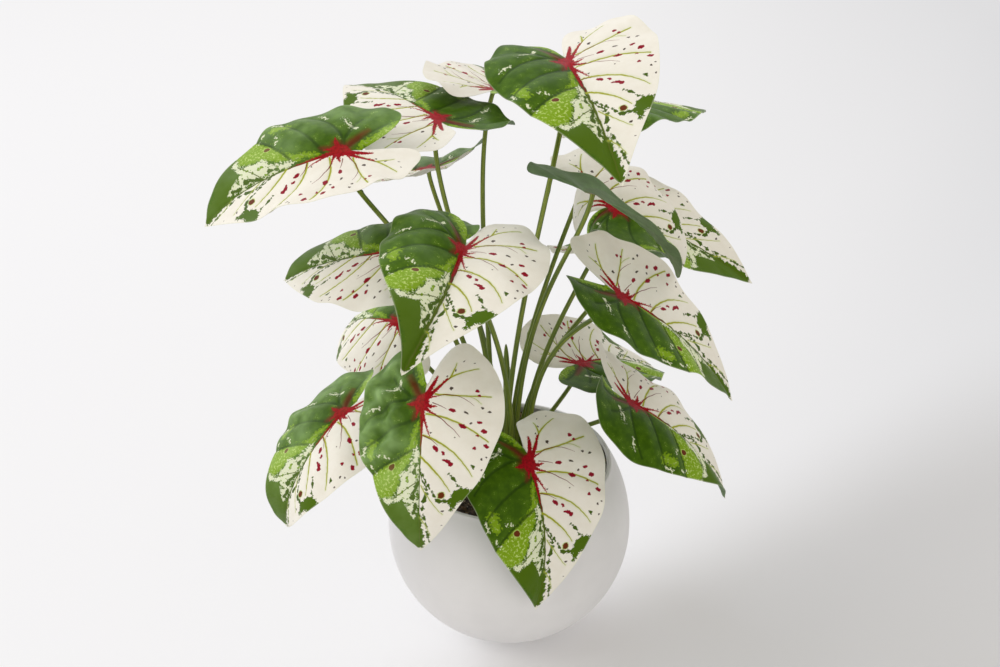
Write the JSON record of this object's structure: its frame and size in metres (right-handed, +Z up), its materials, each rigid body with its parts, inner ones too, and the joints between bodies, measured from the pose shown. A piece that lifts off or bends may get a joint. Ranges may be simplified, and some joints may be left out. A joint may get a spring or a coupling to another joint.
{
  "type": "potted caladium plant",
  "caption": "Potted caladium with heart-shaped leaves, half green and half white with crimson spots, on slender stalks in a white ball-shaped pot.",
  "frame": {"origin": "centre of the pot's flat foot, on the surface that it stands on", "axes": "+Z up, out of the pot's mouth; -Y towards the front, where the lowest leaf hangs over the rim"},
  "size_m": [0.3999, 0.4539, 0.5236],
  "materials": {
    "pot_white": "matte white",
    "soil_brown": "dark crumbly potting mix with small pebbles",
    "stalk_green": "olive green, slightly waxy",
    "leaf_print": "printed: dark green on one half and warm white on the other, lime veins, crimson centre and spots, soft sheen"
  },
  "bodies": {
    "root": {"leaf_back_right": "leaf_print", "leaf_centre": "leaf_print", "leaf_crown_back": "leaf_print", "leaf_crown_right": "leaf_print", "leaf_front_centre": "leaf_print", "leaf_front_left": "leaf_print", "leaf_high_back_left": "leaf_print", "leaf_high_back_right": "leaf_print", "leaf_high_far_left": "leaf_print", "leaf_high_right": "leaf_print", "leaf_low_back_left": "leaf_print", "leaf_low_back_right": "leaf_print", "leaf_low_left": "leaf_print", "leaf_low_right": "leaf_print", "leaf_middle_left": "leaf_print", "leaf_middle_right": "leaf_print", "leaf_outer_right": "leaf_print", "leaf_upper_left": "leaf_print", "pot": "pot_white", "potting_soil": "soil_brown", "stalk_back_right": "stalk_green", "stalk_centre": "stalk_green", "stalk_crown_back": "stalk_green", "stalk_crown_right": "stalk_green", "stalk_front_centre": "stalk_green", "stalk_front_left": "stalk_green", "stalk_high_back_left": "stalk_green", "stalk_high_back_right": "stalk_green", "stalk_high_far_left": "stalk_green", "stalk_high_right": "stalk_green", "stalk_low_back_left": "stalk_green", "stalk_low_back_right": "stalk_green", "stalk_low_left": "stalk_green", "stalk_low_right": "stalk_green", "stalk_middle_left": "stalk_green", "stalk_middle_right": "stalk_green", "stalk_outer_right": "stalk_green", "stalk_upper_left": "stalk_green", "young_shoot": "stalk_green"}
  },
  "joints": []
}
